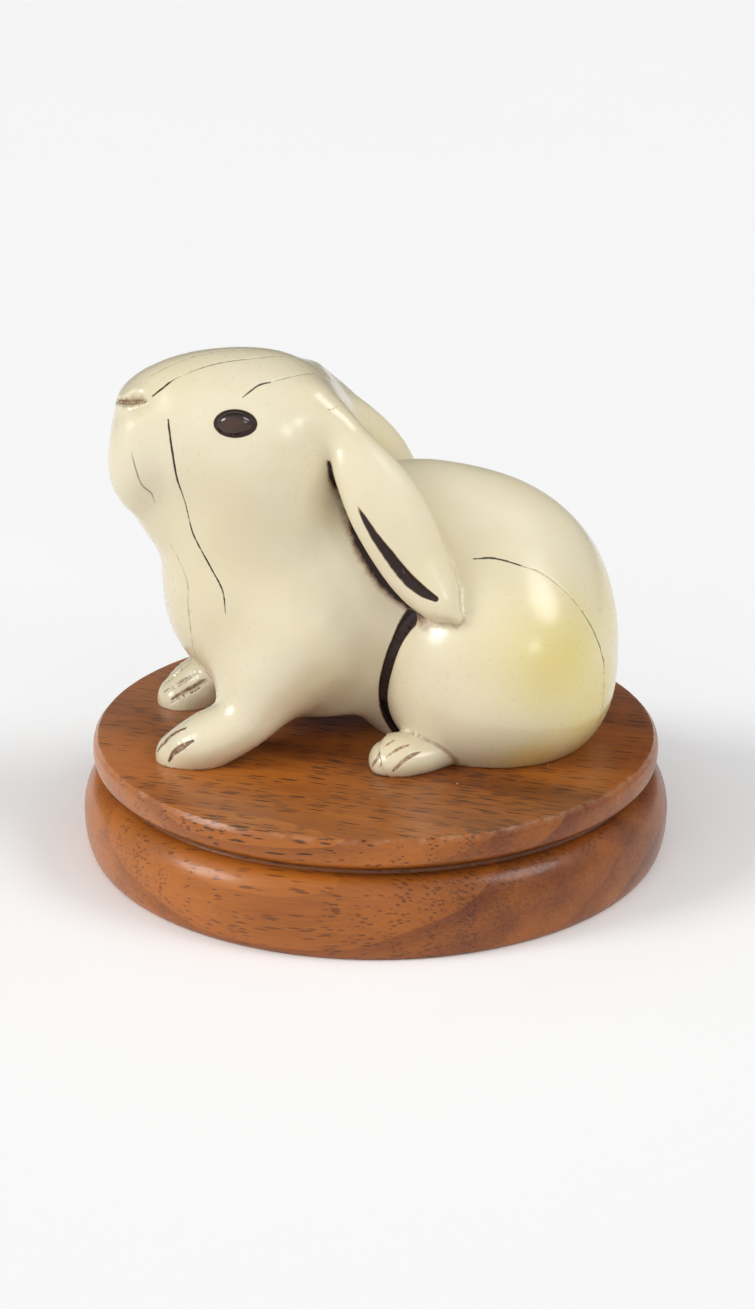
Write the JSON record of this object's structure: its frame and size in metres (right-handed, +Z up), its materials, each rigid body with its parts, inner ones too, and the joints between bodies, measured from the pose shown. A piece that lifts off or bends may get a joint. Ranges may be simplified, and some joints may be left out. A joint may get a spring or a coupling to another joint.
{
  "type": "rabbit figurine on a turned stand",
  "caption": "Crouching lop-eared rabbit netsuke, cast like ivory with inlaid dark eyes, on a round turned walnut stand.",
  "frame": {"origin": "middle of the stand's underside, on the surface it stands on", "axes": "+Z up; the rabbit looks along -X and its left side faces -Y"},
  "size_m": [0.102, 0.102, 0.0866],
  "materials": {
    "ivory_resin": "polished cream resin with a faint yellow patina and dark stain in the cuts",
    "eye_bead": "glossy dark brown",
    "walnut": "satin lacquer over open grain"
  },
  "bodies": {
    "root": {"rabbit": "ivory_resin", "eye_left": "eye_bead", "eye_right": "eye_bead", "stand": "walnut"}
  },
  "joints": []
}
